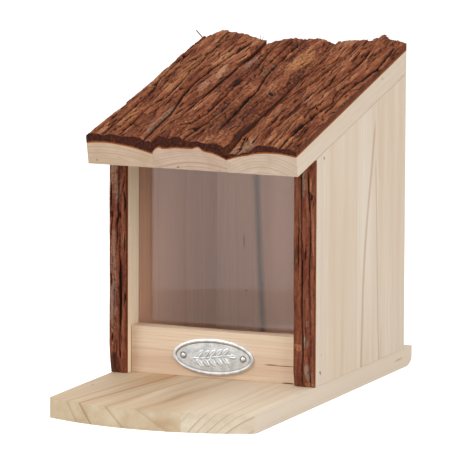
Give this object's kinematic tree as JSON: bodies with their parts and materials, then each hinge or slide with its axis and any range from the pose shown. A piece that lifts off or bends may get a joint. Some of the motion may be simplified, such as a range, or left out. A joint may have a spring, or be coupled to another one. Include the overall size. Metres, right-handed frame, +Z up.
{
  "type": "squirrel feeder box",
  "caption": "Pine feeder box on a bow-fronted base, with a clear window and a hinged lid of waney, bark-covered slabs.",
  "frame": {"origin": "middle of the base's underside, on the surface the feeder stands on", "axes": "+Z up, -Y towards the open ledge and window, +Y towards the hinged back, +X to the right seen from the front"},
  "size_m": [0.1264, 0.252, 0.1928],
  "materials": {
    "base_wood": "planed softwood",
    "box_wood": "planed softwood",
    "rail_wood": "planed softwood",
    "roof_wood": "sawn softwood",
    "roof_bark": "rough bark",
    "post_bark": "rough bark",
    "window_plastic": "clear polished",
    "plaque_metal": "cast, satin",
    "hinge_metal": "zinc plated",
    "fixing_steel": "zinc plated"
  },
  "bodies": {
    "box": {"base_stave_left": "base_wood", "base_stave_right": "base_wood", "left_side_panel": "box_wood", "right_side_panel": "box_wood", "back_panel": "box_wood", "left_post": "box_wood", "right_post": "box_wood", "left_post_bark": "post_bark", "right_post_bark": "post_bark", "front_rail": "rail_wood", "window_pane": "window_plastic", "plaque": "plaque_metal", "plaque_pin_left": "plaque_metal", "plaque_pin_right": "plaque_metal", "left_post_top_brad": "fixing_steel", "right_post_top_brad": "fixing_steel", "left_post_rail_brad": "fixing_steel", "right_post_rail_brad": "fixing_steel", "base_nail_1": "fixing_steel", "base_nail_2": "fixing_steel", "base_nail_3": "fixing_steel", "base_nail_4": "fixing_steel", "base_nail_5": "fixing_steel", "base_nail_6": "fixing_steel", "left_hinge_back_leaf": "hinge_metal", "right_hinge_back_leaf": "hinge_metal", "left_hinge_pin": "hinge_metal", "right_hinge_pin": "hinge_metal", "back_hinge_screw_1": "fixing_steel", "back_hinge_screw_2": "fixing_steel", "back_hinge_screw_3": "fixing_steel", "back_hinge_screw_4": "fixing_steel"},
    "lid": {"roof_slab_left": "roof_wood", "roof_slab_middle": "roof_wood", "roof_slab_right": "roof_wood", "roof_bark_left": "roof_bark", "roof_bark_middle": "roof_bark", "roof_bark_right": "roof_bark", "left_hinge_lid_leaf": "hinge_metal", "right_hinge_lid_leaf": "hinge_metal", "lid_hinge_screw_1": "fixing_steel", "lid_hinge_screw_2": "fixing_steel", "lid_hinge_screw_3": "fixing_steel", "lid_hinge_screw_4": "fixing_steel"}
  },
  "joints": [
    {"name": "lid_hinge", "type": "hinge", "parent": "box", "child": "lid", "pos_m": [0, 0.11552, 0.1718], "axis": [-1, 0, 0], "range_deg": [0, 110]}
  ]
}
